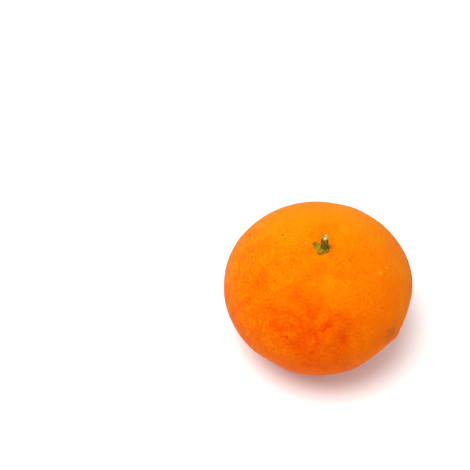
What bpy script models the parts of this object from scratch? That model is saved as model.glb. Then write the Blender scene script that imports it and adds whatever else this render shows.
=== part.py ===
"""A whole mandarin: the fruit, its calyx and the stub of its cut stem.

Metres, +Z up along the fruit's core, from the blossom end to the stem end. The origin is the middle
of the small flat spot that the fruit rests on, and -Y is the fruit's front.
"""

import math
from dataclasses import dataclass

import bmesh
import bpy
from mathutils import Vector

COLLECTION = "mandarin"
GAP = 0.0003  # left between pieces that touch

# Fruit: an oblate body, with a hollow at the stem end and a flat spot at the blossom end.
FRUIT_WIDTH = 0.062
FRUIT_HEIGHT = 0.0455  # from pole to pole, before the hollow and the flat spot are made
REST_FLAT_RADIUS = 0.0065
HOLLOW_DEPTH = 0.0011
HOLLOW_RADIUS = 0.0060  # where the hollow has faded to about a third of its depth
FURROWS = 9  # faint creases that run out of the hollow
FURROW_DEPTH = 0.00010
FURROW_REACH = 0.0066  # how far from the stem they are deepest
STEM_END_X = 0.0009  # the stem end stands a little off the core
STEM_END_Y = -0.0011

# Stem: the stub left where the fruit was cut from the tree.
STEM_LENGTH = 0.0035
STEM_RADIUS = 0.0011
STEM_FLARE = 0.00015  # how much wider the stub is at its foot
STEM_LEAN = math.radians(3.0)  # towards -X
STEM_CUT = math.radians(14.0)  # slant of the cut end

# Calyx: a five-lobed button round the foot of the stem, with longer lobes on one side.
CALYX_THICKNESS = 0.0009
CALYX_RIM = 0.0003  # how far it reaches past the foot of the stem in the notches
LOBES = 5
LOBE_LENGTH = 0.0013
LOBE_SKEW = 0.85  # how much longer the lobes are on the long side
LOBE_TURN = math.radians(163.0)  # the direction of the longest lobe

# Fineness of the meshes.
FRUIT_SEGMENTS = 72
FRUIT_RINGS = 40
RING_CROWDING = 1.25  # above 1 draws the rings together at the stem end
CALYX_SEGMENTS = 50
CALYX_RINGS = 10
STEM_SEGMENTS = 20
STEM_RINGS = 6
SMALLEST_SLOPE = 1e-4  # radians from a pole, below which a ring is a point
SHARP_EDGE = math.radians(40.0)

# Looks: a linear colour and a roughness for each piece.
PEEL = (0.90, 0.22, 0.005), 0.38
DRY_LEAF = (0.28, 0.20, 0.02), 0.6
BARK = (0.25, 0.15, 0.04), 0.7


@dataclass(frozen=True)
class Lump:
    """A soft rise (height above 0) or dent (below 0) in the fruit, round a direction from its middle."""

    turn: float  # degrees round the core, from +X towards +Y
    lift: float  # degrees above the equator
    width: float  # degrees from its middle to where it has faded to about a third
    height: float  # metres


LUMPS_FROM = 0.30  # share of the fruit's width below which there are no lumps, so the poles stay plain
LUMPS_FULL = 0.60  # share of the fruit's width above which they have their whole height
LUMPS = (
    Lump(turn=-17.0, lift=-10.0, width=15.0, height=-0.0019),
    Lump(turn=-32.0, lift=-17.0, width=7.0, height=0.0012),
    Lump(turn=-45.0, lift=-23.0, width=15.0, height=-0.0020),
    Lump(turn=-41.0, lift=8.0, width=7.0, height=-0.0005),
    Lump(turn=-64.0, lift=-34.0, width=9.0, height=-0.0004),
    Lump(turn=-92.0, lift=-40.0, width=18.0, height=0.0007),
    Lump(turn=-124.0, lift=-22.0, width=9.0, height=-0.0004),
    Lump(turn=-86.0, lift=25.0, width=5.0, height=0.0004),
    Lump(turn=-73.0, lift=23.0, width=9.0, height=-0.0005),
    Lump(turn=-99.0, lift=25.0, width=11.0, height=-0.0005),
    Lump(turn=-82.0, lift=-30.0, width=9.0, height=-0.0006),
    Lump(turn=62.0, lift=-24.0, width=20.0, height=-0.0006),
    Lump(turn=96.0, lift=6.0, width=10.0, height=-0.0004),
    Lump(turn=132.0, lift=-12.0, width=16.0, height=-0.0006),
    Lump(turn=160.0, lift=-34.0, width=14.0, height=-0.0005),
)


def smooth_step(low, high, value):
    """0 below low, 1 above high and a smooth rise between."""
    share = min(max((value - low) / (high - low), 0.0), 1.0)
    return share * share * (3.0 - 2.0 * share)


def middle_height():
    """The height of the fruit's middle over the flat spot."""
    share = REST_FLAT_RADIUS / (FRUIT_WIDTH / 2)
    return FRUIT_HEIGHT / 2 * math.sqrt(1.0 - share * share)


def hollow(x, y):
    """How far the stem end lies below the plain oblate body at x, y."""
    out_x, out_y = x - STEM_END_X, y - STEM_END_Y
    reach = math.hypot(out_x, out_y)
    bowl = HOLLOW_DEPTH * math.exp(-(reach / HOLLOW_RADIUS) ** 2)
    crease = math.cos(FURROWS / 2 * math.atan2(out_y, out_x)) ** 8
    near = reach / FURROW_REACH
    return bowl + FURROW_DEPTH * crease * near * near * math.exp(1.0 - near * near)


def fruit_top(x, y):
    """The height of the fruit's skin near the stem end."""
    share = math.hypot(x, y) / (FRUIT_WIDTH / 2)
    return middle_height() + FRUIT_HEIGHT / 2 * math.sqrt(1.0 - share * share) - hollow(x, y)


def lumps_at(direction):
    """How far the skin stands out from the plain body in a direction from the middle."""
    height = 0.0
    for lump in LUMPS:
        turn, lift = math.radians(lump.turn), math.radians(lump.lift)
        middle = Vector((math.cos(lift) * math.cos(turn), math.cos(lift) * math.sin(turn), math.sin(lift)))
        away = direction.angle(middle) / math.radians(lump.width)
        height += lump.height * math.exp(-away * away)
    return height


def skin_point(direction):
    """Where the fruit's skin lies in a direction of the unit sphere, before the flat spot is cut."""
    x = direction.x * FRUIT_WIDTH / 2
    y = direction.y * FRUIT_WIDTH / 2
    z = direction.z * FRUIT_HEIGHT / 2
    if direction.z > 0.0:
        z -= hollow(x, y)
    ends = smooth_step(LUMPS_FROM, LUMPS_FULL, math.hypot(direction.x, direction.y))
    out = direction * (lumps_at(direction) * ends)
    return Vector((x, y, z + middle_height())) + out


def add_object(name, bm, material, collection):
    """Make an object of the mesh, shaded smooth but for its sharp edges."""
    bmesh.ops.recalc_face_normals(bm, faces=bm.faces)
    mesh = bpy.data.meshes.new(name)
    bm.to_mesh(mesh)
    bm.free()
    mesh.materials.append(material)
    mesh.shade_smooth()
    mesh.set_sharp_from_angle(angle=SHARP_EDGE)
    piece = bpy.data.objects.new(name, mesh)
    collection.objects.link(piece)
    return piece


def make_material(name, colour, roughness):
    """A Principled material of one colour."""
    material = bpy.data.materials.new(name)
    material.use_nodes = True
    shader = material.node_tree.nodes["Principled BSDF"]
    shader.inputs["Base Color"].default_value = (*colour, 1.0)
    shader.inputs["Roughness"].default_value = roughness
    shader.inputs["Metallic"].default_value = 0.0
    material.diffuse_color = (*colour, 1.0)
    return material


def make_fruit(collection):
    """The whole fruit: a sphere drawn to the skin's shape, then cut level at the flat spot."""
    bm = bmesh.new()
    bmesh.ops.create_uvsphere(bm, u_segments=FRUIT_SEGMENTS, v_segments=FRUIT_RINGS, radius=1.0)
    for vert in bm.verts:
        slope = math.acos(min(max(vert.co.z, -1.0), 1.0))
        crowded = math.pi * (slope / math.pi) ** RING_CROWDING
        turn = math.atan2(vert.co.y, vert.co.x)
        ring = math.sin(crowded) if SMALLEST_SLOPE < slope < math.pi - SMALLEST_SLOPE else 0.0
        direction = Vector((ring * math.cos(turn), ring * math.sin(turn), math.cos(crowded)))
        vert.co = skin_point(direction)
    cut = bmesh.ops.bisect_plane(
        bm,
        geom=bm.verts[:] + bm.edges[:] + bm.faces[:],
        plane_co=(0.0, 0.0, 0.0),
        plane_no=(0.0, 0.0, -1.0),
        clear_outer=True,
    )
    rim = [item for item in cut["geom_cut"] if isinstance(item, bmesh.types.BMEdge)]
    bmesh.ops.holes_fill(bm, edges=rim, sides=0)
    material = make_material("peel", *PEEL)
    return add_object("fruit", bm, material, collection)


def calyx_reach(turn):
    """How far the calyx reaches from the stem's axis in a direction round it."""
    lobe = 0.5 + 0.5 * math.cos(LOBES * (turn - LOBE_TURN))
    skew = 1.0 + LOBE_SKEW * math.cos(turn - LOBE_TURN)
    return STEM_RADIUS + STEM_FLARE + CALYX_RIM + LOBE_LENGTH * lobe * skew


def make_calyx(collection):
    """The calyx: a ball pressed flat on the skin, its outline drawn out into the lobes."""
    bm = bmesh.new()
    bmesh.ops.create_uvsphere(bm, u_segments=CALYX_SEGMENTS, v_segments=CALYX_RINGS, radius=1.0)
    for vert in bm.verts:
        turn = math.atan2(vert.co.y, vert.co.x)
        share = min(math.hypot(vert.co.x, vert.co.y), 1.0)
        reach = calyx_reach(turn) * share
        x = STEM_END_X + reach * math.cos(turn)
        y = STEM_END_Y + reach * math.sin(turn)
        thickness = CALYX_THICKNESS * (0.5 + 0.5 * vert.co.z)
        vert.co = Vector((x, y, fruit_top(x, y) + GAP + thickness))
    material = make_material("calyx", *DRY_LEAF)
    return add_object("calyx", bm, material, collection)


def make_stem(collection):
    """The stem stub: a round bar that stands on the calyx, flared at its foot and cut on the slant."""
    foot = fruit_top(STEM_END_X, STEM_END_Y) + GAP + CALYX_THICKNESS + GAP
    bm = bmesh.new()
    bmesh.ops.create_cone(
        bm,
        cap_ends=True,
        segments=STEM_SEGMENTS,
        radius1=STEM_RADIUS,
        radius2=STEM_RADIUS,
        depth=1.0,
    )
    sides = [edge for edge in bm.edges if abs(edge.verts[0].co.z - edge.verts[1].co.z) > 0.5]
    bmesh.ops.subdivide_edges(bm, edges=sides, cuts=STEM_RINGS - 1, use_grid_fill=True)
    for vert in bm.verts:
        share = vert.co.z + 0.5
        swell = 1.0 + STEM_FLARE / STEM_RADIUS * (1.0 - share) ** 3
        x, y = vert.co.x * swell, vert.co.y * swell
        height = share * (STEM_LENGTH + vert.co.y * math.tan(STEM_CUT))
        vert.co = Vector((STEM_END_X + x - height * math.tan(STEM_LEAN), STEM_END_Y + y, foot + height))
    material = make_material("stem", *BARK)
    return add_object("stem", bm, material, collection)


def main():
    """Clear the scene and build the mandarin."""
    for item in list(bpy.data.objects):
        bpy.data.objects.remove(item)
    collection = bpy.data.collections.new(COLLECTION)
    bpy.context.scene.collection.children.link(collection)
    make_fruit(collection)
    make_calyx(collection)
    make_stem(collection)


main()
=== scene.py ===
"""The looks of a whole mandarin: pitted peel, calyx and cut stem stub, in a plain white studio.

Metres, +Z up along the fruit's core. The origin is the middle of the flat spot that the fruit rests on,
and -Y is the fruit's front. Every surface is a function of two parameters, worked out on a numpy grid.
"""

import logging
import math
from dataclasses import dataclass
from enum import Enum

import bpy
import numpy as np
from mathutils import Matrix, Vector

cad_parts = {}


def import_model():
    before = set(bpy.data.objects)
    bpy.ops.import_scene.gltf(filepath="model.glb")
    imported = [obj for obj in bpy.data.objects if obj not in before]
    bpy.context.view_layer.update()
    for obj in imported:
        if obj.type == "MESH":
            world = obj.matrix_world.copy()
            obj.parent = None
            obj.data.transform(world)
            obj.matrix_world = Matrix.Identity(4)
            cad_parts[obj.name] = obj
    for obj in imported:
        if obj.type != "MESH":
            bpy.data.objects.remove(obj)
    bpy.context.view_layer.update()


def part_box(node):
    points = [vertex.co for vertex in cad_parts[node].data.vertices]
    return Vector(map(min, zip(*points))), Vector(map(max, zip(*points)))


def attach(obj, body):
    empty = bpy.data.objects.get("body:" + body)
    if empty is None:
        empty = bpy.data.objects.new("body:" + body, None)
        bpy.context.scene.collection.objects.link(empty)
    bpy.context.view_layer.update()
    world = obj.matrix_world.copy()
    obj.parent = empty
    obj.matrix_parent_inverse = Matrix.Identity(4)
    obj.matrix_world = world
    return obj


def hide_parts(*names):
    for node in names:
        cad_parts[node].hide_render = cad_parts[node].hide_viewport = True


LOG = logging.getLogger("mandarin")
BODY = "root"
STEM_SINK = 0.0011  # how far the stub's foot lies below the CAD stem's, inside the calyx
FIBRE_ROOM = 0.0002  # how far the cut end stops below the top of the CAD stem

Array = np.ndarray
Triple = tuple[float, float, float]
Colour = Triple
EVEN: Triple = (1.0, 1.0, 1.0)


# ---------------------------------------------------------------- fields in space


HASH_START = 0xDEADBEEF + 13  # the hash's own starting word
WORD_MAX = 0xFFFFFFFF
STIR_TURNS = (4, 6, 8, 16, 19, 4)  # how many bits each step turns a word
FINISH_TURNS = (14, 11, 25, 16, 4, 14, 24)


def _turned(word: Array, bits: int) -> Array:
    """32-bit words turned left by some bits."""
    return (word << np.uint32(bits)) | (word >> np.uint32(32 - bits))


def _finish_hash(a: Array, b: Array, c: Array) -> Array:
    """Stir three words: each in turn is crossed with the one before it, then cut by that one, turned.

    Args:
        a: First words.
        b: Second words.
        c: Third words.

    Returns:
        The word stirred last.
    """
    for bits in FINISH_TURNS:
        c = (c ^ b) - _turned(b, bits)
        a, b, c = b, c, a
    return b


def _hash(points: Array, extra: float | None = None) -> Array:
    """A number from 0 to 1 for each whole-numbered point, and for an extra number if one is given.

    Args:
        points: Points, one a row.
        extra: A fourth number, which picks another set of results.

    Returns:
        One number for each point.
    """
    words = [np.ascontiguousarray(points[:, axis], np.float32).view(np.uint32) for axis in range(3)]
    count = 3 if extra is None else 4
    start = np.uint32((HASH_START + (count << 2)) & WORD_MAX)
    a, b, c = (start + word for word in words)
    if extra is not None:
        for bits in STIR_TURNS:
            a = (a - c) ^ _turned(c, bits)
            c = c + b
            a, b, c = b, c, a
        a = a + np.full(len(points), extra, np.float32).view(np.uint32)
    return _finish_hash(a, b, c).astype(float) / WORD_MAX


def soft_noise(points: Array, wavelength: float, seed: float) -> Array:
    """A smooth field from -1 to 1: hashed values at a grid's corners, blended smoothly between them.

    Args:
        points: Points in metres, one a row.
        wavelength: The grid's size in metres.
        seed: Picks another field of the same kind.

    Returns:
        One value for each point.
    """
    scaled = points / wavelength
    corner = np.floor(scaled)
    share = scaled - corner
    share = share**3 * (share * (share * 6.0 - 15.0) + 10.0)
    total = np.zeros(len(points))
    for step in np.ndindex(2, 2, 2):
        weight = np.prod(np.where(np.array(step) == 1, share, 1.0 - share), axis=1)
        total += weight * (2.0 * _hash(corner + np.array(step), seed) - 1.0)
    return total


def smooth_step(low: float, high: float, value: Array) -> Array:
    """0 at low, 1 at high and a smooth step between; low may be the larger.

    Args:
        low: Where the result is 0.
        high: Where it is 1.
        value: What is tested.

    Returns:
        One share for each value.
    """
    share = np.clip((value - low) / (high - low), 0.0, 1.0)
    return share * share * (3.0 - 2.0 * share)


@dataclass(frozen=True)
class Glands:
    """The oil glands of the peel: one point strewn in each cube of a grid of the given size.

    It is the rule of the shader's cell texture, so the pits cut in the mesh, the pits in the bump and
    the colour of the glands all lie in the same places.
    """

    size: float = 0.00112
    spread: float = 0.85
    reach: float = 0.50  # of the size: where a pit ends

    def distance(self, points: Array) -> Array:
        """How far each point is from the nearest gland, as a share of the grid's size.

        A cube's gland is its low corner plus three hashes of that corner times the spread. The nearest
        one is looked for in the 27 cubes round the point.

        Args:
            points: Points in metres, one a row.

        Returns:
            One distance for each point.
        """
        scaled = (points / self.size).astype(np.float32).astype(float)
        corner = np.floor(scaled)
        nearest = np.full(len(points), np.inf)
        for step in np.ndindex(3, 3, 3):
            cube = corner + (np.array(step) - 1.0) + 0.0
            strewn = np.stack([_hash(cube), _hash(cube, 1.0), _hash(cube, 2.0)], axis=1)
            away = np.linalg.norm(cube + strewn * self.spread - scaled, axis=1)
            nearest = np.minimum(nearest, away)
        return nearest


# ---------------------------------------------------------------- the fruit's form


def direction_of(turn: float, lift: float) -> Array:
    """The unit vector at turn degrees round the core, from +X, and lift degrees above the equator."""
    turn, lift = math.radians(turn), math.radians(lift)
    return np.array([math.cos(lift) * math.cos(turn), math.cos(lift) * math.sin(turn), math.sin(lift)])


@dataclass(frozen=True)
class Lump:
    """A soft rise (height above 0) or dent (below 0), round a direction from the fruit's middle."""

    turn: float
    lift: float
    width: float  # degrees from its middle to where it has faded to about a third
    height: float

    def height_at(self, directions: Array) -> Array:
        """Its height there: a bell curve of the angle from its middle."""
        angle = np.arccos(np.clip(directions @ direction_of(self.turn, self.lift), -1.0, 1.0))
        return self.height * np.exp(-((angle / math.radians(self.width)) ** 2))


END_DEPTH = 0.35  # a crease's depth at its ends, as a share of its deepest


@dataclass(frozen=True)
class Crease:
    """A fine groove along a short arc between two directions from the fruit's middle."""

    start: tuple[float, float]  # turn and lift, in degrees
    end: tuple[float, float]
    width: float
    depth: float

    def height_at(self, directions: Array) -> Array:
        """Its height there: a bell curve of the distance from the arc's chord, less than 0.

        It is deepest half way along the arc and shallower towards both ends.

        Args:
            directions: Unit vectors, one a row.

        Returns:
            One height for each direction.
        """
        start, end = direction_of(*self.start), direction_of(*self.end)
        along = end - start
        share = np.clip((directions - start) @ along / (along @ along), 0.0, 1.0)
        away = np.linalg.norm(directions - start - share[:, None] * along, axis=1)
        depth = self.depth * (END_DEPTH + (1.0 - END_DEPTH) * np.sin(math.pi * share))
        return -depth * np.exp(-((away / math.radians(self.width)) ** 2))


LUMPS = (
    Lump(-17.0, -10.0, 15.0, -0.0019),
    Lump(-32.0, -17.0, 7.0, 0.0012),
    Lump(-45.0, -23.0, 15.0, -0.0020),
    Lump(-41.0, 8.0, 7.0, -0.0005),
    Lump(-64.0, -34.0, 9.0, -0.0004),
    Lump(-92.0, -40.0, 18.0, 0.0007),
    Lump(-124.0, -22.0, 9.0, -0.0004),
    Lump(-86.0, 25.0, 5.0, 0.0004),
    Lump(-73.0, 23.0, 9.0, -0.0005),
    Lump(-99.0, 25.0, 11.0, -0.0005),
    Lump(-82.0, -30.0, 9.0, -0.0006),
    Lump(62.0, -24.0, 20.0, -0.0006),
    Lump(96.0, 6.0, 10.0, -0.0004),
    Lump(132.0, -12.0, 16.0, -0.0006),
    Lump(160.0, -34.0, 14.0, -0.0005),
)

CREASES = (
    Crease((-84.0, 30.0), (-86.0, -16.0), 1.9, 0.00024),
    Crease((-79.0, 20.0), (-76.0, 8.0), 1.0, 0.00010),
    Crease((-93.0, 22.0), (-96.0, 9.0), 1.2, 0.00010),
    Crease((-48.0, 16.0), (-37.0, 10.0), 1.6, 0.00022),
    Crease((118.0, 4.0), (129.0, -6.0), 1.4, 0.00014),
)


@dataclass(frozen=True)
class FruitForm:
    """The shape of the fruit's skin, in the CAD model's own sizes."""

    width: float = 0.062
    height: float = 0.0455
    rest_radius: float = 0.0065
    rest_blend: float = 0.00012  # how softly the skin meets the surface that it rests on
    hollow_depth: float = 0.0011
    hollow_radius: float = 0.0060
    pucker_depth: float = 0.00030  # the tight ring round the calyx
    pucker_radius: float = 0.0030
    furrows: int = 9
    furrow_depth: float = 0.00010
    furrow_reach: float = 0.0066
    stem_end: tuple[float, float] = (0.0009, -0.0011)
    scar_depth: float = 0.00045
    scar_radius: float = 0.0013
    scar_knob: float = 0.35  # how far the scar's middle stands up again, as a share of its depth
    lumps_from: float = 0.30  # share of the width below which there are no lumps, so the poles stay plain
    lumps_full: float = 0.60  # share of the width above which they have their whole height
    swells_from: float = 0.06
    swells_full: float = 0.22
    swells: tuple[tuple[float, float], ...] = ((0.016, 0.00014), (0.0065, 0.00007), (0.0029, 0.000035))
    swell_seed: float = 11.0
    pit_depth: float = 0.000060
    pit_share: float = 0.75  # the usual depth of a pit, as a share of pit_depth
    pit_change: float = 0.35  # how much that share rises and falls over the peel
    pit_patch: float = 0.009  # how far it is from a place with deep pits to one with shallow pits
    pit_seed: float = 31.0
    pits_from: float = 0.0016  # from the stem end, where pits begin
    pits_full: float = 0.0042
    glands: Glands = Glands()

    def middle(self) -> float:
        """The height of the fruit's middle over the flat spot."""
        share = self.rest_radius / (self.width / 2)
        return self.height / 2 * math.sqrt(1.0 - share * share)

    def hollow(self, x: Array, y: Array) -> Array:
        """How far the stem end lies below the plain oblate body.

        A bell-shaped bowl round the stem, with faint furrows that run out of it and fade again.

        Args:
            x: Places across, in metres.
            y: Places along, in metres.

        Returns:
            One depth for each place.
        """
        out_x, out_y = x - self.stem_end[0], y - self.stem_end[1]
        reach = np.hypot(out_x, out_y)
        near = (reach / self.furrow_reach) ** 2
        crease = np.cos(self.furrows / 2 * np.arctan2(out_y, out_x)) ** 8
        bowl = self.hollow_depth * np.exp(-((reach / self.hollow_radius) ** 2))
        return bowl + self.furrow_depth * crease * near * np.exp(1.0 - near)

    def reach(self, x: Array, y: Array) -> Array:
        """How far each place is from the stem end, seen from above."""
        return np.hypot(x - self.stem_end[0], y - self.stem_end[1])

    def pucker(self, x: Array, y: Array) -> Array:
        """How far the tight ring round the calyx presses the skin in: a flat-topped bell round the stem."""
        return self.pucker_depth * np.exp(-((self.reach(x, y) / self.pucker_radius) ** 4))

    def top(self, x: Array, y: Array) -> Array:
        """The height of the skin near the stem end, with the pucker but without pits."""
        share = np.hypot(x, y) / (self.width / 2)
        body = self.middle() + self.height / 2 * np.sqrt(1.0 - share**2)
        return body - self.hollow(x, y) - self.pucker(x, y)

    def skin(self, directions: Array) -> Array:
        """The skin's points in the given directions of the unit sphere.

        The sphere is drawn to the fruit's width and height and pressed in by the hollow. Lumps, creases
        and soft swells move it along the direction, pits cut it along the normal, and the blossom end
        is pressed level where it would go below the resting surface.

        Args:
            directions: Unit vectors, one a row.

        Returns:
            One point for each direction.
        """
        half = np.array([self.width / 2, self.width / 2, self.height / 2])
        points = directions * half
        x, y = points[:, 0], points[:, 1]
        reach = self.reach(x, y)
        above = directions[:, 2] > 0.0
        points[:, 2] -= np.where(above, self.hollow(x, y) + self.pucker(x, y), 0.0)
        share = np.hypot(directions[:, 0], directions[:, 1])
        ends = smooth_step(self.lumps_from, self.lumps_full, share)
        out = sum(lump.height_at(directions) for lump in LUMPS) * ends
        out += sum(crease.height_at(directions) for crease in CREASES)
        calm = smooth_step(self.swells_from, self.swells_full, share)
        for number, (wavelength, height) in enumerate(self.swells):
            out += soft_noise(points, wavelength, self.swell_seed + number) * height * calm
        points += directions * out[:, None]
        points[:, 2] = self._rested(points[:, 2] + self.middle())
        points[:, 2] += self._scar(points)
        normals = directions / half
        normals /= np.linalg.norm(normals, axis=1)[:, None]
        clear = np.where(above, smooth_step(self.pits_from, self.pits_full, reach), 1.0)
        size = self.pit_share + self.pit_change * soft_noise(points, self.pit_patch, self.pit_seed)
        pits = self.pit_depth * size * clear * self.pit(self.glands.distance(points))
        return points - normals * pits[:, None]

    def _scar(self, points: Array) -> Array:
        """How far the blossom-end scar presses the underside in: a bell round the core, with a knob.

        Args:
            points: Points of the skin, one a row.

        Returns:
            One height for each point, 0 on the upper half.
        """
        reach = np.hypot(points[:, 0], points[:, 1]) / self.scar_radius
        low = smooth_step(self.middle(), 0.0, points[:, 2])
        knob = self.scar_knob * np.exp(-((3.0 * reach) ** 2))
        return self.scar_depth * low * np.exp(-(reach**2)) * (1.0 - knob)

    def pit(self, distance: Array) -> Array:
        """The depth of a pit as a share of the deepest: a smooth bowl that ends at the gland's reach."""
        return smooth_step(self.glands.reach, 0.0, distance)

    def _rested(self, z: Array) -> Array:
        """Heights pressed softly level at 0: half the sum of the height and a rounded size of it."""
        return 0.5 * (z + np.sqrt(z * z + self.rest_blend**2))

    def place(self, turn: float, lift: float) -> Vector:
        """The point of the skin at a turn and lift in degrees."""
        return Vector(self.skin(direction_of(turn, lift)[None, :])[0])


# ---------------------------------------------------------------- making meshes


class Side(Enum):
    """The six sides of the cube that the sphere's grid is drawn from: outward, across and up."""

    RIGHT = ((1, 0, 0), (0, 1, 0), (0, 0, 1))
    BACK = ((0, 1, 0), (-1, 0, 0), (0, 0, 1))
    LEFT = ((-1, 0, 0), (0, -1, 0), (0, 0, 1))
    FRONT = ((0, -1, 0), (1, 0, 0), (0, 0, 1))
    TOP = ((0, 0, 1), (1, 0, 0), (0, 1, 0))
    UNDER = ((0, 0, -1), (1, 0, 0), (0, -1, 0))


MARGIN = 0.006  # of the flat texture, left free round each side


def cube_sphere(count: int) -> tuple[Array, Array, Array]:
    """A closed sphere of unit directions from six square grids, welded where they meet.

    On each side a grid point is the outward axis plus the tangents of two angles, each from -45 to 45
    degrees, along the two other axes, made one long.

    Args:
        count: Squares along each side.

    Returns:
        The directions, the squares' corners, and a place on the flat texture for each corner of each
        square, the sides lying three by two.
    """
    angle = np.linspace(-math.pi / 4, math.pi / 4, count + 1)
    across, up = np.meshgrid(angle, angle, indexing="ij")
    index = np.arange((count + 1) ** 2).reshape(count + 1, count + 1)
    square = np.stack([index[:-1, :-1], index[1:, :-1], index[1:, 1:], index[:-1, 1:]], axis=-1)
    square = square.reshape(-1, 4)
    flat = np.stack([across, up], axis=-1).reshape(-1, 2) / (math.pi / 2) + 0.5
    room = np.array([1 / 3, 1 / 2])  # of the flat texture, for each side
    points, squares, places = [], [], []
    for number, side in enumerate(Side):
        out, right, top = (np.array(axis, float) for axis in side.value)
        grid = out + np.tan(across)[..., None] * right + np.tan(up)[..., None] * top
        points.append((grid / np.linalg.norm(grid, axis=-1, keepdims=True)).reshape(-1, 3))
        squares.append(square + number * len(flat))
        cell = np.array([number % 3, number // 3]) * room
        places.append(cell + MARGIN + flat[square] * (room - 2 * MARGIN))
    points = np.concatenate(points)
    _, first, same = np.unique(np.round(points, 7), axis=0, return_index=True, return_inverse=True)
    return points[first], same.reshape(-1)[np.concatenate(squares)], np.concatenate(places)


def capped_rings(rings: Array) -> tuple[Array, Array, Array]:
    """A closed surface through rings of points, with a single point at each end.

    Args:
        rings: Points by ring and by place round it. The first and last ring are each all one point.

    Returns:
        The points, the triangles at the ends and the squares between the rings.
    """
    count, around = rings.shape[:2]
    points = np.concatenate([rings[0, :1], rings[1:-1].reshape(-1, 3), rings[-1, :1]])
    index = 1 + np.arange((count - 2) * around).reshape(count - 2, around)
    after = np.roll(index, -1, axis=1)
    squares = np.stack([index[:-1], after[:-1], after[1:], index[1:]], axis=-1).reshape(-1, 4)
    low = np.stack([np.zeros(around, int), after[0], index[0]], axis=-1)
    high = np.stack([np.full(around, len(points) - 1), index[-1], after[-1]], axis=-1)
    return points, np.concatenate([low, high]), squares


def mesh_object(name: str, points: Array, faces: list[Array], values: dict[str, Array]) -> bpy.types.Object:
    """A smooth-shaded object at the origin, from points and faces.

    Args:
        name: The piece's name.
        points: Points in metres, one a row.
        faces: Arrays of corner numbers, one array for each number of corners.
        values: Named values, one for each point, that the material reads.

    Returns:
        The new object, in the scene.
    """
    mesh = bpy.data.meshes.new(name)
    mesh.from_pydata(points.tolist(), [], [face for group in faces for face in group.tolist()])
    for label, value in values.items():
        attribute = mesh.attributes.new(label, "FLOAT", "POINT")
        attribute.data.foreach_set("value", value.astype(np.float32))
    mesh.shade_smooth()
    mesh.update()
    piece = bpy.data.objects.new(name, mesh)
    bpy.context.scene.collection.objects.link(piece)
    return piece


# ---------------------------------------------------------------- making materials


Socket = bpy.types.NodeSocket
Value = float | tuple | Vector | Socket


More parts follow.
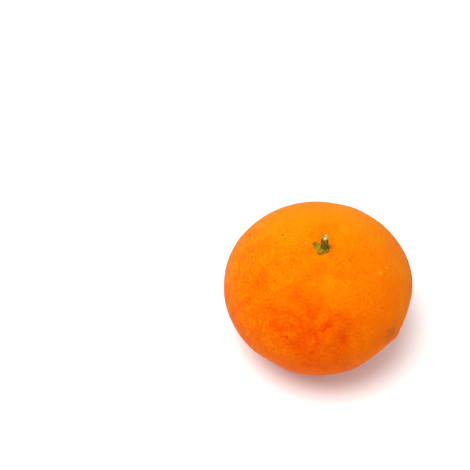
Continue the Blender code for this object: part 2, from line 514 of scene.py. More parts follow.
class Sketch:
    """A material under construction, with short names for the nodes that it uses."""

    def __init__(self, name: str) -> None:
        """Start a material with one Principled shader.

        Args:
            name: The material's name.
        """
        self.material = bpy.data.materials.new(name)
        self.material.use_nodes = True
        self.tree = self.material.node_tree
        self.shader = self.tree.nodes["Principled BSDF"]
        self.place = self.node("ShaderNodeTexCoord").outputs["Object"]

    def node(
        self, kind: str, inputs: dict[int | str, Value] | None = None, **settings: object
    ) -> bpy.types.Node:
        """Add a node.

        Args:
            kind: Blender's name for the node's type.
            inputs: A value or another node's socket for each named or numbered input.
            settings: The node's own settings.

        Returns:
            The node.
        """
        node = self.tree.nodes.new(kind)
        for name, setting in settings.items():
            setattr(node, name, setting)
        for name, value in (inputs or {}).items():
            self.feed(node.inputs[name], value)
        return node

    def feed(self, socket: Socket, value: Value) -> None:
        """Set an input to a value, or link it to a socket.

        Args:
            socket: The input.
            value: The value or the other node's socket.
        """
        if isinstance(value, bpy.types.NodeSocket):
            self.tree.links.new(value, socket)
        else:
            socket.default_value = value

    def sum(self, kind: str, first: Value, second: Value = 0.0, third: Value = 0.0) -> Socket:
        """One step of arithmetic, kind being ADD, MULTIPLY, MULTIPLY_ADD, SUBTRACT and so on."""
        return self.node("ShaderNodeMath", {0: first, 1: second, 2: third}, operation=kind).outputs[0]

    def fade(self, value: Value, low: float, high: float, start: float = 0.0, end: float = 1.0) -> Socket:
        """A smooth step from start, where the value is low, to end, where it is high."""
        inputs = {"Value": value, "From Min": low, "From Max": high, "To Min": start, "To Max": end}
        return self.node("ShaderNodeMapRange", inputs, interpolation_type="SMOOTHSTEP").outputs["Result"]

    def blend(self, share: Value, first: Value, second: Value) -> Socket:
        """A mix of two colours.

        Args:
            share: 0 for all of the first colour, 1 for all of the second.
            first: The first colour.
            second: The second colour.

        Returns:
            The mixed colour.
        """
        colours = [(*c, 1.0) if isinstance(c, tuple) and len(c) == 3 else c for c in (first, second)]
        inputs = {0: share, 6: colours[0], 7: colours[1]}
        return self.node("ShaderNodeMix", inputs, data_type="RGBA").outputs[2]

    def noise(self, wavelength: float, detail: float = 2.0, at: Socket | None = None) -> Socket:
        """Soft noise from about 0.2 to 0.8, its features one wavelength across."""
        inputs = {"Vector": at or self.place, "Scale": 1.0 / wavelength, "Detail": detail}
        return self.node("ShaderNodeTexNoise", inputs).outputs[0]

    def cells(self, size: float, spread: float) -> Socket:
        """The distance from the nearest of points strewn one to a cube of that size."""
        inputs = {"Vector": self.place, "Scale": 1.0 / size, "Randomness": spread}
        return self.node("ShaderNodeTexVoronoi", inputs, feature="F1").outputs["Distance"]

    def vector(self, kind: str, first: Value, second: Value = (0.0, 0.0, 0.0)) -> bpy.types.Node:
        """One step of vector arithmetic, kind being SUBTRACT, MULTIPLY, LENGTH and so on."""
        return self.node("ShaderNodeVectorMath", {0: first, 1: second}, operation=kind)

    def away(self, point: Vector, stretch: Triple = EVEN) -> Socket:
        """The distance from a point, in metres, with each axis stretched by a number.

        Args:
            point: The point.
            stretch: The numbers, above 1 where the distance counts for more.

        Returns:
            The distance.
        """
        offset = self.vector("SUBTRACT", self.place, point).outputs[0]
        scaled = self.vector("MULTIPLY", offset, stretch).outputs[0]
        return self.vector("LENGTH", scaled).outputs["Value"]

    def ramp(self, value: Value, stops: dict[float, Colour]) -> Socket:
        """A colour that follows a value through the stops.

        Args:
            value: From 0 to 1.
            stops: A colour for each position, the positions rising.

        Returns:
            The colour.
        """
        node = self.node("ShaderNodeValToRGB", {0: value})
        elements = node.color_ramp.elements
        while len(elements) < len(stops):
            elements.new(1.0)
        for element, (position, colour) in zip(elements, stops.items()):
            element.position = position
            element.color = (*colour, 1.0)
        return node.outputs[0]

    def bump(self, height: Value, distance: float, normal: Socket | None = None) -> Socket:
        """A normal tilted by a height from 0 to 1 that stands for the given distance.

        Args:
            height: The height.
            distance: How far it stands out where it is 1, in metres.
            normal: The normal before it, if there is one.

        Returns:
            The tilted normal.
        """
        inputs = {"Strength": 1.0, "Distance": distance, "Height": height}
        if normal is not None:
            inputs["Normal"] = normal
        return self.node("ShaderNodeBump", inputs).outputs[0]

    def finish(
        self, colour: Socket, roughness: Value, normal: Socket, **constants: Value
    ) -> bpy.types.Material:
        """Connect the shader and give the material.

        Args:
            colour: The base colour.
            roughness: The roughness.
            normal: The tilted normal.
            constants: Values for the shader's other inputs, by name, with _ for each space.

        Returns:
            The material.
        """
        self.feed(self.shader.inputs["Base Color"], colour)
        self.feed(self.shader.inputs["Roughness"], roughness)
        self.feed(self.shader.inputs["Normal"], normal)
        for name, value in constants.items():
            self.shader.inputs[name.replace("_", " ")].default_value = value
        return self.material


class Tint(Enum):
    """The colours that marks on the peel have."""

    SPECK = (0.23, 0.045, 0.004)
    # the russet of the stray specks, also used for a painted shade just below the yellow spot
    RUSSET = (0.50, 0.075, 0.003)
    GREENISH = (0.36, 0.095, 0.003)
    PALE = (0.95, 0.400, 0.050)
    YELLOW = (0.75, 0.230, 0.004)
    EMBER = (0.66, 0.062, 0.001)


@dataclass(frozen=True)
class Mark:
    """A small mark on the peel, round a place at a turn and lift in degrees."""

    turn: float
    lift: float
    radius: float
    tint: Tint
    strength: float
    stretch: Triple = EVEN


MARKS = (
    Mark(158.0, 65.0, 0.00050, Tint.SPECK, 0.60),
    Mark(-34.0, 70.0, 0.00050, Tint.SPECK, 0.50),
    Mark(-12.0, 65.0, 0.00040, Tint.SPECK, 0.35),
    Mark(16.0, 35.0, 0.00050, Tint.SPECK, 0.55),
    Mark(-44.0, 34.0, 0.00040, Tint.SPECK, 0.35),
    Mark(-23.0, 50.0, 0.00075, Tint.PALE, 0.30),
    Mark(-14.0, 47.0, 0.00060, Tint.PALE, 0.28),
    Mark(173.0, 81.0, 0.00055, Tint.PALE, 0.32),
    Mark(-112.0, 26.0, 0.00170, Tint.YELLOW, 0.24, (0.7, 1.0, 1.2)),
    # a painted shade just below the yellow spot
    Mark(-110.0, 21.0, 0.00120, Tint.RUSSET, 0.40),
    Mark(-44.0, 9.0, 0.00300, Tint.GREENISH, 0.60),
    Mark(-38.0, -4.0, 0.00260, Tint.EMBER, 0.35),
    Mark(0.0, -90.0, 0.00210, Tint.YELLOW, 0.40),
    Mark(0.0, -90.0, 0.00130, Tint.SPECK, 0.75),
)


@dataclass(frozen=True)
class Patch:
    """A soft-edged area of the peel that is redder (tone below 0) or yellower (above 0)."""

    turn: float
    lift: float
    radius: float
    tone: float
    stretch: Triple = EVEN


# Besides the peel's own blush these hold painted light and shade: the red patches on the front are partly
# painted shade, the narrow yellow band at (-90, 37) is a painted highlight on a ridge, and the yellow
# patches at (-8, 27) and (-24, 15) are painted light on the right side.
PATCHES = (
    Patch(-109.0, 34.0, 0.0095, -0.20),
    Patch(-102.0, 21.0, 0.0090, -0.12),
    Patch(-77.0, 32.0, 0.0062, -0.24),
    Patch(-90.0, 14.0, 0.0100, -0.12),
    Patch(-125.0, 29.0, 0.0052, -0.06),
    Patch(-122.0, 39.0, 0.0040, -0.10),
    Patch(-104.0, 41.0, 0.0036, -0.10),
    Patch(-95.0, 43.0, 0.0055, -0.12),
    Patch(-98.0, 52.0, 0.0034, -0.10),
    Patch(-79.0, 19.0, 0.0050, -0.16),
    Patch(-122.0, 54.0, 0.0028, -0.16, (0.40, 1.0, 1.0)),
    Patch(-90.0, 37.0, 0.0024, 0.22, (1.0, 0.5, 0.5)),
    Patch(-91.0, 28.0, 0.0024, -0.14),
    Patch(-84.0, 42.0, 0.0036, -0.20),
    Patch(-113.0, 26.0, 0.0046, 0.08),
    Patch(-84.0, 58.0, 0.0060, 0.10),
    Patch(-18.0, 69.0, 0.0070, -0.06),
    Patch(-8.0, 27.0, 0.0060, 0.10),
    Patch(-24.0, 15.0, 0.0060, 0.12),
    Patch(-37.0, 15.0, 0.0060, 0.10),
    Patch(-56.0, -4.0, 0.0075, 0.12),
    Patch(66.0, 58.0, 0.0095, 0.10),
    Patch(141.0, 63.0, 0.0090, 0.10),
    Patch(-148.0, 40.0, 0.0060, -0.08),
)


@dataclass(frozen=True)
class PeelFinish:
    """Ripe mandarin peel: orange that runs from yellow to red, with pits, blushes, specks and wax, and
    painted light and shade in its tone.
    """

    form: FruitForm
    red: Colour = (0.590, 0.036, 0.0002)
    deep: Colour = (0.625, 0.072, 0.0002)
    ripe: Colour = (0.680, 0.118, 0.0003)
    warm: Colour = (0.710, 0.198, 0.0005)
    low: float = 0.010  # the height up to which the peel has its low tone
    # low_tone and high_tone: the top is yellower, partly the peel's own colour and partly painted light
    # from above
    low_tone: float = 0.52
    high_tone: float = 0.70
    spread: float = 0.024  # how far from the core the front and back tones are reached
    # front_tone and back_tone: the back is yellower and the front redder, partly the peel's own colour and
    # partly painted light from behind
    front_tone: float = -0.02
    back_tone: float = 0.26
    clouds: tuple[Triple, ...] = ((0.017, 2.0, 0.25), (0.0042, 3.0, 0.45), (0.00085, 2.0, 0.60))
    plain_mottle: float = 0.95  # the strength of the mottling in the middle of each side
    left_mottle: float = 1.55
    left_side: tuple[float, float] = (-0.012, -0.022)  # where it begins and is full, along X
    right_mottle: float = 0.5
    right_side: tuple[float, float] = (0.002, 0.022)
    pit_tone: float = -0.17  # how much redder the bottom of a pit is
    pit_bump: float = 0.00011
    wrinkle_centre: tuple[float, float] = (-113.0, 24.0)
    wrinkle_width: float = 0.0012
    wrinkle_turns: float = 2.2  # above 0 breaks the wrinkles up along their length
    wrinkle_reach: float = 0.0130
    # how much yellower the wrinkles' ridges and redder their grooves are: painted light on the ridges,
    # painted shade in the grooves
    wrinkle_light_and_shade: float = 0.55
    wrinkle_bump: float = 0.00030
    grain_size: float = 0.00042
    grain_bump: float = 0.000035
    dullest: float = 0.64  # the roughness where the wax has worn
    waxiest: float = 0.48
    wax_size: float = 0.0022
    gloss: float = 0.025
    gloss_tint: tuple[float, float, float, float] = (1.0, 0.5, 0.1, 1.0)
    glow: float = 0.10  # the share of light that passes through the peel's surface
    glow_colour: Colour = (1.0, 0.35, 0.08)
    glow_depth: float = 0.0010
    patch_edge: float = 0.010  # how ragged the edge of a large patch is
    patch_noise: float = 0.0055
    patch_ends: float = 1.25  # of its radius: where a patch has faded away
    patch_full: float = 0.35  # of its radius: where it begins to fade
    small_patch: float = 0.006  # a patch below this radius has a less ragged edge
    mark_edge: float = 1.6  # how ragged the edge of a mark is, as a share of its radius
    mark_noise: float = 0.0014
    mark_ends: float = 1.2
    mark_full: float = 0.3
    stray_size: float = 0.0095  # one stray speck to a cube of this size
    stray_ends: float = 0.055  # of that size
    stray_full: float = 0.020
    stray_strength: float = 0.45

    def material(self) -> bpy.types.Material:
        """Build the peel's material.

        Returns:
            The material.
        """
        sketch = Sketch("peel")
        distance = sketch.cells(self.form.glands.size, self.form.glands.spread)
        pit = sketch.fade(distance, self.form.glands.reach, 0.0)
        wrinkle = self._wrinkles(sketch)
        # The wrinkles paint light on their ridges and shade in their grooves, in step with their bump.
        tone = sketch.sum("MULTIPLY_ADD", wrinkle, self.wrinkle_light_and_shade, self._tone(sketch, pit))
        stops = {0.0: self.red, 0.30: self.deep, 0.60: self.ripe, 1.0: self.warm}
        colour = self._marked(sketch, sketch.ramp(tone, stops))
        wax = sketch.noise(self.wax_size, 3.0)
        roughness = sketch.fade(wax, 0.25, 0.75, self.waxiest, self.dullest)
        fine = sketch.bump(sketch.noise(self.grain_size, 4.0), self.grain_bump)
        ridged = sketch.bump(sketch.sum("ADD", wrinkle, 0.5), self.wrinkle_bump, fine)
        normal = sketch.bump(sketch.sum("SUBTRACT", 1.0, pit), self.pit_bump, ridged)
        return sketch.finish(
            colour, roughness, normal, Specular_IOR_Level=self.gloss, Specular_Tint=self.gloss_tint,
            Subsurface_Weight=self.glow, Subsurface_Radius=self.glow_colour,
            Subsurface_Scale=self.glow_depth)

    def _wrinkles(self, sketch: Sketch) -> Socket:
        """Wrinkles that curve round a dimple low on the front, from about -0.5 to 0.5, 0 away from it.

        They are soft noise in which the distance from the dimple counts in short steps and the direction
        from it in long ones.

        Args:
            sketch: The material.

        Returns:
            Their height.
        """
        centre = self.form.place(*self.wrinkle_centre)
        away = sketch.away(centre)
        offset = sketch.vector("SUBTRACT", sketch.place, centre).outputs[0]
        facing = sketch.vector("NORMALIZE", offset).outputs[0]
        split = sketch.node("ShaderNodeSeparateXYZ", {0: facing})
        across = sketch.sum("MULTIPLY", split.outputs["X"], self.wrinkle_turns)
        up = sketch.sum("MULTIPLY", split.outputs["Z"], self.wrinkle_turns)
        step = sketch.sum("DIVIDE", away, self.wrinkle_width)
        curved = sketch.node("ShaderNodeCombineXYZ", {0: across, 1: up, 2: step}).outputs[0]
        lines = sketch.noise(1.0, 1.0, curved)
        near = sketch.fade(away, self.wrinkle_reach, self.wrinkle_reach * 0.65)
        return sketch.sum("MULTIPLY", sketch.sum("SUBTRACT", lines, 0.5), near)

    def _tone(self, sketch: Sketch, pit: Socket) -> Socket:
        """How yellow the peel is: more towards the top and back, partly painted light from above and
        behind; less in blushes, which are partly painted shade, and in pits; mottled all over.

        Args:
            sketch: The material.
            pit: How deep in a pit a place is, from 0 to 1.

        Returns:
            The tone, 0 for the reddest peel and 1 for the yellowest.
        """
        split = sketch.node("ShaderNodeSeparateXYZ", {0: sketch.place})
        # Yellower towards the top and back and redder towards the bottom and front: partly the peel's own
        # colour, partly painted light from above and behind.
        height = sketch.fade(split.outputs["Z"], self.low, self.form.height, self.low_tone, self.high_tone)
        back = sketch.fade(split.outputs["Y"], -self.spread, self.spread, self.front_tone, self.back_tone)
        mottle = sketch.sum("MULTIPLY", pit, self.pit_tone)
        for wavelength, detail, strength in self.clouds:
            clouds = sketch.sum("SUBTRACT", sketch.noise(wavelength, detail), 0.5)
            mottle = sketch.sum("MULTIPLY_ADD", clouds, strength, mottle)
        left = sketch.fade(split.outputs["X"], *self.left_side, self.plain_mottle, self.left_mottle)
        right = sketch.fade(split.outputs["X"], *self.right_side, self.plain_mottle, self.right_mottle)
        coarse = sketch.sum("MULTIPLY", left, right)
        tone = sketch.sum("MULTIPLY_ADD", mottle, coarse, sketch.sum("ADD", height, back))
        edge = self.patch_edge
        ragged = sketch.sum("MULTIPLY_ADD", sketch.noise(self.patch_noise, 3.0), edge, -edge / 2)
        # The patches: the peel's own blush, with painted light and shade among them.
        for patch in PATCHES:
            away = sketch.away(self.form.place(patch.turn, patch.lift), patch.stretch)
            rough = sketch.sum("MULTIPLY_ADD", ragged, min(1.0, patch.radius / self.small_patch), away)
            ends, full = patch.radius * self.patch_ends, patch.radius * self.patch_full
            share = sketch.fade(rough, ends, full, 0.0, patch.tone)
            tone = sketch.sum("ADD", tone, share)
        return tone

    def _marked(self, sketch: Sketch, colour: Socket) -> Socket:
        """The peel's colour with its marks laid over it, the largest of them ragged.

        Args:
            sketch: The material.
            colour: The colour without marks.

        Returns:
            The colour with them.
        """
        ragged = sketch.sum("SUBTRACT", sketch.noise(self.mark_noise, 3.0), 0.5)
        for mark in MARKS:
            away = sketch.away(self.form.place(mark.turn, mark.lift), mark.stretch)
            away = sketch.sum("MULTIPLY_ADD", ragged, mark.radius * self.mark_edge, away)
            ends, full = mark.radius * self.mark_ends, mark.radius * self.mark_full
            share = sketch.fade(away, ends, full, 0.0, mark.strength)
            colour = sketch.blend(share, colour, mark.tint.value)
        stray = sketch.cells(self.stray_size, 1.0)
        speck = sketch.fade(stray, self.stray_ends, self.stray_full, 0.0, self.stray_strength)
        return sketch.blend(speck, colour, Tint.RUSSET.value)


@dataclass(frozen=True)
class CalyxFinish:
    """A half-dried calyx: olive green, browner towards the tips and between the veins."""

    centre: Vector
    green: Colour = (0.170, 0.130, 0.003)
    olive: Colour = (0.330, 0.225, 0.005)
    brown: Colour = (0.140, 0.060, 0.002)
    patch_size: float = 0.0009
    grain_size: float = 0.00022
    tip_from: float = 0.0022  # from the stem's axis, where the tips begin to turn brown
    tip_full: float = 0.0040
    tip_edge: float = 0.0022  # how ragged the edge of the brown tips is
    grain_bump: float = 0.00008
    roughness: float = 0.62
    gloss: float = 0.10

    def material(self) -> bpy.types.Material:
        """Build the calyx's material.

        Returns:
            The material.
        """
        sketch = Sketch("calyx")
        reach = sketch.away(self.centre, (1.0, 1.0, 0.0))
        patchy = sketch.noise(self.patch_size, 3.0)
        fine = sketch.noise(self.grain_size, 3.0)
        leaf = sketch.blend(sketch.fade(patchy, 0.38, 0.62), self.green, self.olive)
        ragged = sketch.sum("MULTIPLY_ADD", patchy, self.tip_edge, -self.tip_edge / 2)
        tips = sketch.sum("ADD", reach, ragged)
        leaf = sketch.blend(sketch.fade(tips, self.tip_from, self.tip_full, 0.0, 0.65), leaf, self.brown)
        leaf = sketch.blend(sketch.fade(fine, 0.52, 0.70, 0.0, 0.45), leaf, self.brown)
        normal = sketch.bump(sketch.sum("ADD", fine, patchy), self.grain_bump)
        return sketch.finish(leaf, self.roughness, normal, Specular_IOR_Level=self.gloss)


@dataclass(frozen=True)
class StemFinish:
    """Cut twig: an olive-brown streaked bark and a pale cut end with a green rim."""

    centre: Vector
    bark: Colour = (0.220, 0.130, 0.008)
    streak: Colour = (0.095, 0.052, 0.002)
    dry: Colour = (0.400, 0.240, 0.045)
    pith: Colour = (0.640, 0.460, 0.170)
    rim: Colour = (0.260, 0.190, 0.025)
    streak_size: float = 0.00032
    streak_length: float = 0.16  # below 1 draws the streaks out along the stem
    grain_size: float = 0.00016
    grain_bump: float = 0.00009
    tear_size: float = 0.00060
    pith_radius: float = 0.00100
    rim_radius: float = 0.00145
    rim_edge: float = 0.0010  # how ragged the edge between pith and rim is
    roughness: float = 0.72
    gloss: float = 0.10

    def material(self) -> bpy.types.Material:
        """Build the stem's material; the value named cut is 1 on the cut end and 0 on the bark.

        Returns:
            The material.
        """
        sketch = Sketch("stem")
        drawn = {"Vector": sketch.place, "Scale": (1.0, 1.0, self.streak_length)}
        along = sketch.node("ShaderNodeMapping", drawn).outputs[0]
        streaks = sketch.noise(self.streak_size, 3.0, along)
        fine = sketch.noise(self.grain_size, 3.0)
        bark = sketch.blend(sketch.fade(streaks, 0.40, 0.60), self.streak, self.bark)
        bark = sketch.blend(sketch.fade(streaks, 0.56, 0.70, 0.0, 0.8), bark, self.dry)
        cut = sketch.node("ShaderNodeAttribute", attribute_name="cut").outputs["Fac"]
        reach = sketch.away(self.centre, (1.0, 1.0, 0.0))
        torn = sketch.noise(self.tear_size, 3.0)
        worn = sketch.sum("MULTIPLY_ADD", torn, self.rim_edge, reach)
        wood = sketch.blend(sketch.fade(worn, self.pith_radius, self.rim_radius), self.pith, self.rim)
        wood = sketch.blend(sketch.fade(torn, 0.50, 0.62, 0.0, 0.75), wood, self.streak)
        colour = sketch.blend(sketch.fade(cut, 0.35, 0.65), bark, wood)
        normal = sketch.bump(sketch.sum("ADD", streaks, fine), self.grain_bump)
        return sketch.finish(colour, self.roughness, normal, Specular_IOR_Level=self.gloss)


# ---------------------------------------------------------------- the pieces


NOISE_SHIFT = 0.05  # moves the noise, so that its grid has no corner on the stem's axis


@dataclass
class Fruit:
    """The whole fruit, peel outside."""

    form: FruitForm
    squares: int = 128  # along each side of the sphere's grid

    def build(self) -> bpy.types.Object:
        """Make the fruit and dress it in peel.

        Returns:
            The piece, which stands for the CAD's fruit.
        """
        directions, squares, places = cube_sphere(self.squares)
        piece = mesh_object("fruit_skin", self.form.skin(directions), [squares], {})
        layer = piece.data.uv_layers.new(name="OFBake")
        layer.data.foreach_set("uv", places.reshape(-1).astype(np.float32))
        piece.data.materials.append(PeelFinish(self.form).material())
        return piece


@dataclass(frozen=True)
class Fibre:
    """A torn fibre on the rim of the cut end, at a turn round the stem in degrees."""

    turn: float
    length: float
    thickness: float


@dataclass
class Stem:
    """The stub of the cut stem, a ridged bar with a ragged slanted end."""

    foot: Vector
    length: float
    radius: float = 0.00108
    flare: float = 0.00035
    lean: float = math.radians(3.0)  # towards -X
    slant: float = math.radians(14.0)
    ridges: int = 7
    ridge_height: float = 0.00007
    winding: float = 0.5  # how far the ridges turn round the stem on their way up
    face_rough: float = 0.00016
    face_dip: float = 0.00018  # how far the middle of the cut end is hollow
    grain: float = 0.00055
    seed: float = 3.0
    around: int = 72
    rings: int = 46
    face_rings: int = 12
    fibre_root: float = 0.0006  # how much of a fibre is inside the stub
    fibres: tuple[Fibre, ...] = (
        Fibre(40.0, 0.0012, 0.00030),
        Fibre(70.0, 0.0007, 0.00022),
        Fibre(12.0, 0.0006, 0.00020),
    )

    def build(self) -> bpy.types.Object:
        """Make the stub: rings up the bark, over the rim and in to the middle of the cut end.

        The radius at a turn is the bar's own, wider at the foot, plus rounded ridges that wind slightly,
        plus soft noise. The cut end is a slanted level with a ragged, rough face.

        Returns:
            The piece, which stands for the CAD's stem.
        """
        turn = np.linspace(0.0, 2 * math.pi, self.around, endpoint=False)[None, :]
        side = np.linspace(0.0, 1.0, self.rings)[:, None]
        face = np.linspace(0.93, 0.0, self.face_rings)[:, None]
        foot = np.zeros((1, 1))
        share = np.concatenate([foot, side**0.9, np.ones_like(face)])
        inward = np.concatenate([foot, np.ones_like(side), face])
        cut = np.concatenate([foot, np.zeros_like(side), np.ones_like(face)]) + 0.0 * turn
        wound = turn + self.winding * share
        ridge = self.ridge_height * np.cos(self.ridges * wound) * np.sin(2.0 * wound + 1.0)
        radius = self.radius + self.flare * np.exp(-share * 7.0) + ridge
        radius = radius * (1.0 - 0.05 * smooth_step(0.96, 1.0, share)) * inward
        x, y = radius * np.cos(turn), radius * np.sin(turn)
        grain = np.stack([x, y, 0.25 * share * self.length + 0.0 * x], axis=-1).reshape(-1, 3)
        rough = soft_noise(grain + NOISE_SHIFT, self.grain, self.seed).reshape(x.shape)
        top = self.length + y * math.tan(self.slant) + self.face_rough * rough * share**6
        top = top - self.face_dip * cut * smooth_step(0.35, 0.95, 1.0 - inward)
        height = share * top
        swell = 1.0 + 0.05 * rough * (1.0 - cut)
        points = np.stack([x * swell - height * math.tan(self.lean), y * swell, height], axis=-1)
        points, ends, squares = capped_rings(points + np.array(self.foot))
        cut = np.concatenate([cut[0, :1], cut[1:-1].reshape(-1), cut[-1, :1]])
        piece = mesh_object("stem_stub", points, [ends, squares], {"cut": cut})
        piece.data.materials.append(StemFinish(self.foot).material())
        return piece

    def build_fibres(self) -> bpy.types.Object:
        """Make the fibres that stand up from the rim of the cut end: thin bars that taper and bend out.

        Returns:
            The piece that holds all of them.
        """
        points, ends, squares, start = [], [], [], 0
        for fibre in self.fibres:
            angle = math.radians(fibre.turn)
            out = np.array([math.cos(angle), math.sin(angle), 0.0])
            side = np.array([-math.sin(angle), math.cos(angle), 0.0])
            share = np.linspace(0.0, 1.0, 12)[:, None, None]
            round_it = np.linspace(0.0, 2 * math.pi, 10, endpoint=False)[None, :, None]
            rim = self.length + self.radius * math.sin(angle) * math.tan(self.slant)
            rise = rim - self.fibre_root + share * (fibre.length * 0.75 + self.fibre_root)
            middle = out * (self.radius * 0.88 + share**2 * fibre.length * 0.7)
            middle = middle + np.array([0.0, 0.0, 1.0]) * rise
            middle = middle - np.array([1.0, 0.0, 0.0]) * rim * math.tan(self.lean)
            thick = fibre.thickness * np.sqrt(np.clip(1.0 - share**1.5, 0.0, 1.0))
            thick = np.where(share == 0.0, 0.0, thick)
            tube = middle + thick * (out * 0.6 * np.cos(round_it) + side * np.sin(round_it))
            some, caps, quads = capped_rings(tube + np.array(self.foot))
            points.append(some)
            ends.append(caps + start)
            squares.append(quads + start)
            start += len(some)
        whole = np.concatenate(points)
        faces = [np.concatenate(ends), np.concatenate(squares)]
        piece = mesh_object("stem_fibres", whole, faces, {"cut": np.full(len(whole), 1.0)})
        piece.data.materials.append(StemFinish(self.foot).material())
        return piece


@dataclass
class Calyx:
    """The five-lobed button round the foot of the stem."""

    form: FruitForm
    stem_radius: float = 0.00125
    rim: float = 0.0003
    lobes: int = 5
    lobe_length: float = 0.0013
    lobe_skew: float = 0.85
    lobe_turn: float = math.radians(163.0)
    web: float = 0.0011  # how far the leaf fills the notch between the two longest lobes
    lobe_fullness: float = 0.5  # below 1 draws the lobes wide and the notches narrow
    thickness: float = 0.00085
    sink: float = 0.00018  # how far its underside lies in the skin
    boss_height: float = 0.00060  # the raised middle that the stem grows from
    boss_radius: float = 0.00165
    curl: float = 0.00035  # how far the tips of the lobes turn up
    vein: float = 0.00016
    valley: float = 0.00022  # how far the leaf dips between the lobes
    roughness: float = 0.00010
    grain: float = 0.0007
    seed: float = 7.0
    around: int = 180
    rings: int = 44

    def reach(self, turn: Array) -> Array:
        """How far it reaches from the stem's axis: a rim, and lobes that are longer on one side.

        Args:
            turn: Directions round the stem, in radians.

        Returns:
            One distance for each direction.
        """
        away = turn - self.lobe_turn
        lobe = (0.5 + 0.5 * np.cos(self.lobes * away)) ** self.lobe_fullness
        skew = 1.0 + self.lobe_skew * np.cos(away)
        notch = 0.5 + 0.5 * np.cos(away - math.pi / self.lobes)
        web = self.web * notch**4 * (1.0 - lobe)
        return self.stem_radius + self.rim + web + self.lobe_length * lobe * skew

    def build(self) -> bpy.types.Object:
        """Make the calyx: rings out along its underside, round its edge and back over its top.

        Its underside lies in the skin. Its top is highest round the stem, thins towards the edge and
        has a raised vein down each lobe, and the tips of the lobes turn up.

        Returns:
            The piece, which stands for the CAD's calyx.
        """
        turn = np.linspace(0.0, 2 * math.pi, self.around, endpoint=False)[None, :]
        slope = np.linspace(0.0, math.pi, self.rings)[:, None]
        share = np.sin(slope) ** 0.8
        share[0], share[-1] = 0.0, 0.0
        over = 0.5 - 0.5 * np.cos(slope)
        wobble = 1.0 + 0.05 * np.sin(3.0 * turn + 1.0) + 0.04 * np.sin(8.0 * turn)
        reach = self.reach(turn) * share * wobble
        x = self.form.stem_end[0] + reach * np.cos(turn)
        y = self.form.stem_end[1] + reach * np.sin(turn)
        lobe = 0.5 + 0.5 * np.cos(self.lobes * (turn - self.lobe_turn))
        vein = self.vein * lobe**6 * np.sin(math.pi * share) ** 2 * over
        valley = self.valley * (1.0 - lobe) ** 2 * smooth_step(0.35, 0.9, share) * over
        grain = np.stack([x, y, 0.0 * x], axis=-1).reshape(-1, 3)
        rough = soft_noise(grain + NOISE_SHIFT, self.grain, self.seed).reshape(x.shape)
        thick = self.thickness * (1.0 - 0.45 * share**2) * over
        tips = self.curl * lobe * smooth_step(0.55, 1.0, share) * (1.0 + rough)
        boss = self.boss_height * np.exp(-((reach / self.boss_radius) ** 4)) * over
        z = self.form.top(x, y) - self.sink + thick + boss + vein - valley + tips
        z += self.roughness * rough * over * share
        points, ends, squares = capped_rings(np.stack([x, y, z], axis=-1))
        piece = mesh_object("calyx_star", points, [ends, squares], {})
        centre = Vector((*self.form.stem_end, float(z[-1, 0])))
        piece.data.materials.append(CalyxFinish(centre).material())
        return piece


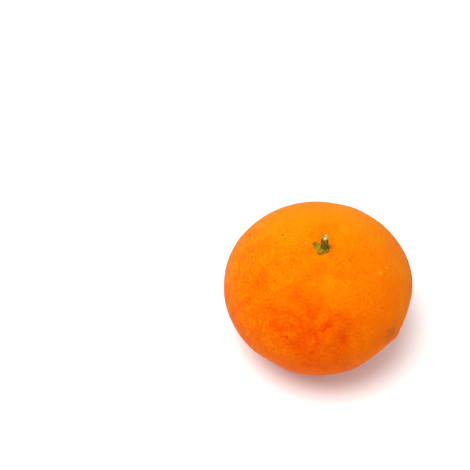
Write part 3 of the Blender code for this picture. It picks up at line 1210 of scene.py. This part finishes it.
@dataclass
class Studio:
    """A wide white floor, soft white light from all round and above, and the camera."""

    middle: Vector
    floor_size: float = 12.0
    floor_tone: float = 0.95
    sky: float = 0.70
    lamp_power: float = 3.4
    lamp_size: float = 0.45
    lamp_place: tuple[float, float, float] = (-0.14, -0.06, 0.55)
    lens: float = 100.0
    distance: float = 0.4270
    elevation: float = math.radians(51.0)
    aim_left: float = 0.0272  # how far to the left of the fruit's middle the camera looks
    aim_up: float = 0.01679

    def build(self) -> None:
        """Make the floor, the light and the camera."""
        self._floor()
        self._light()
        self._camera()

    def _floor(self) -> None:
        """A wide level white sheet under the fruit."""
        half = self.floor_size / 2
        corners = np.array([[-half, -half, 0.0], [half, -half, 0.0], [half, half, 0.0], [-half, half, 0.0]])
        floor = mesh_object("floor", corners, [np.array([[0, 1, 2, 3]])], {})
        sketch = Sketch("floor")
        sketch.shader.inputs["Base Color"].default_value = (*(self.floor_tone,) * 3, 1.0)
        sketch.shader.inputs["Roughness"].default_value = 0.9
        sketch.shader.inputs["Specular IOR Level"].default_value = 0.0
        floor.data.materials.append(sketch.material)

    def _light(self) -> None:
        """An even white sky and one wide lamp above the fruit, turned towards it."""
        world = bpy.data.worlds.new("studio")
        world.use_nodes = True
        background = world.node_tree.nodes["Background"]
        background.inputs["Color"].default_value = (1.0, 1.0, 1.0, 1.0)
        background.inputs["Strength"].default_value = self.sky
        bpy.context.scene.world = world
        lamp = bpy.data.lights.new("lamp", "AREA")
        lamp.shape = "DISK"
        lamp.size = self.lamp_size
        lamp.energy = self.lamp_power
        place = bpy.data.objects.new("lamp", lamp)
        place.location = self.lamp_place
        towards = Vector(self.lamp_place) - self.middle
        place.rotation_euler = towards.to_track_quat("Z", "Y").to_euler()
        bpy.context.scene.collection.objects.link(place)

    def _camera(self) -> None:
        """A camera in front of the fruit and above it, which looks a little past it."""
        back = Vector((0.0, -math.cos(self.elevation), math.sin(self.elevation)))
        up = Vector((0.0, math.sin(self.elevation), math.cos(self.elevation)))
        right = Vector((1.0, 0.0, 0.0))
        aim = self.middle - right * self.aim_left + up * self.aim_up
        data = bpy.data.cameras.new("camera")
        data.lens = self.lens
        data.sensor_width = 36.0
        data.clip_start = 0.01
        camera = bpy.data.objects.new("camera", data)
        turned = Matrix((right, up, back)).transposed().to_4x4()
        camera.matrix_world = Matrix.Translation(aim + back * self.distance) @ turned
        bpy.context.scene.collection.objects.link(camera)
        bpy.context.scene.camera = camera
        bpy.context.scene.view_settings.view_transform = "Standard"


def hand_over(piece: bpy.types.Object, slot: str, *nodes: str) -> None:
    """Fix a finished piece to the fruit's body and hide the CAD nodes it stands for.

    Args:
        piece: The finished piece.
        slot: The record's material slot; not used.
        nodes: The CAD nodes that it replaces.
    """
    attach(piece, BODY)
    if nodes:
        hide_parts(*nodes)
    LOG.info("%s: %d points, %d faces", piece.name, len(piece.data.vertices), len(piece.data.polygons))


def main() -> None:
    """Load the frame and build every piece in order."""
    logging.basicConfig(level=logging.INFO, format="%(name)s: %(message)s")
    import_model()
    form = FruitForm()
    stem_low, stem_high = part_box("stem")
    foot = Vector((*form.stem_end, stem_low.z - STEM_SINK))
    hand_over(Fruit(form).build(), "peel", "fruit")
    hand_over(Calyx(form).build(), "calyx", "calyx")
    stem = Stem(foot, length=stem_high.z - foot.z - FIBRE_ROOM)
    hand_over(stem.build(), "stem", "stem")
    hand_over(stem.build_fibres(), "stem")
    Studio(Vector((0.0, 0.0, form.middle()))).build()


if __name__ == "__main__":
    main()
